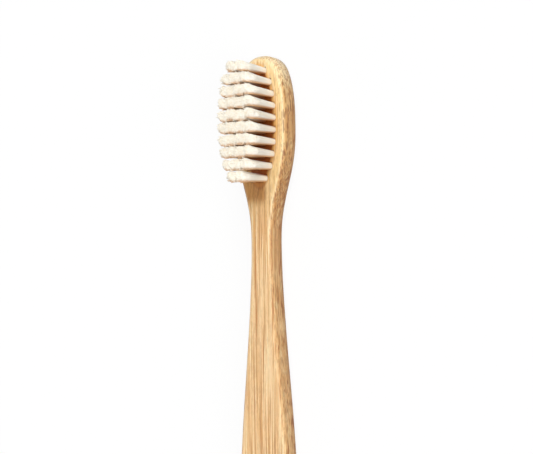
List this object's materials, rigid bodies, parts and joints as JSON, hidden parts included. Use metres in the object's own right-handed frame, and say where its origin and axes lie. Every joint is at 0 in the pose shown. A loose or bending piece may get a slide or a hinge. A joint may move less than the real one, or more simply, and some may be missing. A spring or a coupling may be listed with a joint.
{
  "type": "manual toothbrush",
  "caption": "Manual toothbrush with a flat bamboo handle, a waisted neck and tufts of straight bristles set in the rounded head.",
  "frame": {"origin": "centre of the brush's flat back, on the surface that it lies on", "axes": "+X along the brush towards the tip of the head, +Z out of the bristle face, +Y across"},
  "size_m": [0.19, 0.0132, 0.0147],
  "materials": {
    "bamboo": "fine sanded, unvarnished",
    "bristle": "natural, satin filaments",
    "anchor_wire": "rolled"
  },
  "bodies": {
    "root": {"handle": "bamboo", "tuft_r01_c1": "bristle", "tuft_r01_c2": "bristle", "tuft_r02_c1": "bristle", "tuft_r02_c2": "bristle", "tuft_r02_c3": "bristle", "tuft_r03_c1": "bristle", "tuft_r03_c2": "bristle", "tuft_r03_c3": "bristle", "tuft_r03_c4": "bristle", "tuft_r04_c1": "bristle", "tuft_r04_c2": "bristle", "tuft_r04_c3": "bristle", "tuft_r04_c4": "bristle", "tuft_r05_c1": "bristle", "tuft_r05_c2": "bristle", "tuft_r05_c3": "bristle", "tuft_r05_c4": "bristle", "tuft_r06_c1": "bristle", "tuft_r06_c2": "bristle", "tuft_r06_c3": "bristle", "tuft_r06_c4": "bristle", "tuft_r07_c1": "bristle", "tuft_r07_c2": "bristle", "tuft_r07_c3": "bristle", "tuft_r07_c4": "bristle", "tuft_r08_c1": "bristle", "tuft_r08_c2": "bristle", "tuft_r08_c3": "bristle", "tuft_r08_c4": "bristle", "tuft_r09_c1": "bristle", "tuft_r09_c2": "bristle", "tuft_r09_c3": "bristle", "tuft_r10_c1": "bristle", "tuft_r10_c2": "bristle", "anchors": "anchor_wire"}
  },
  "joints": []
}
